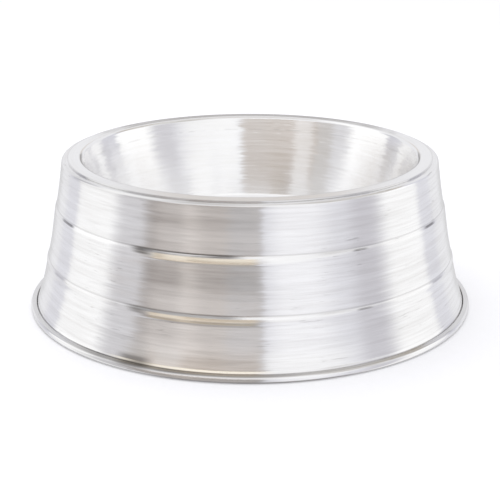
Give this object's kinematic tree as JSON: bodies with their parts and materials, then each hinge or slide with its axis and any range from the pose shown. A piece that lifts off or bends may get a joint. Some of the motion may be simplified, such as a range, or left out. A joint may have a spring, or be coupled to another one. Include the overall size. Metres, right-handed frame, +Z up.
{
  "type": "pet food bowl",
  "caption": "Round aluminium pet food bowl: a flared, beaded skirt standing on a rolled foot, and a deep food pan whose flange lies in the skirt's rim.",
  "frame": {"origin": "centre of the foot, on the surface that the bowl stands on", "axes": "+Z up along the bowl's axis; the bowl is round, so X and Y are free, and the picture is taken along +Y"},
  "size_m": [0.22, 0.22, 0.075],
  "materials": {
    "skirt_aluminium": "bare, turned with fine circular lines",
    "pan_aluminium": "bare, turned with fine circular lines"
  },
  "bodies": {
    "root": {"outer_skirt": "skirt_aluminium", "food_pan": "pan_aluminium"}
  },
  "joints": []
}
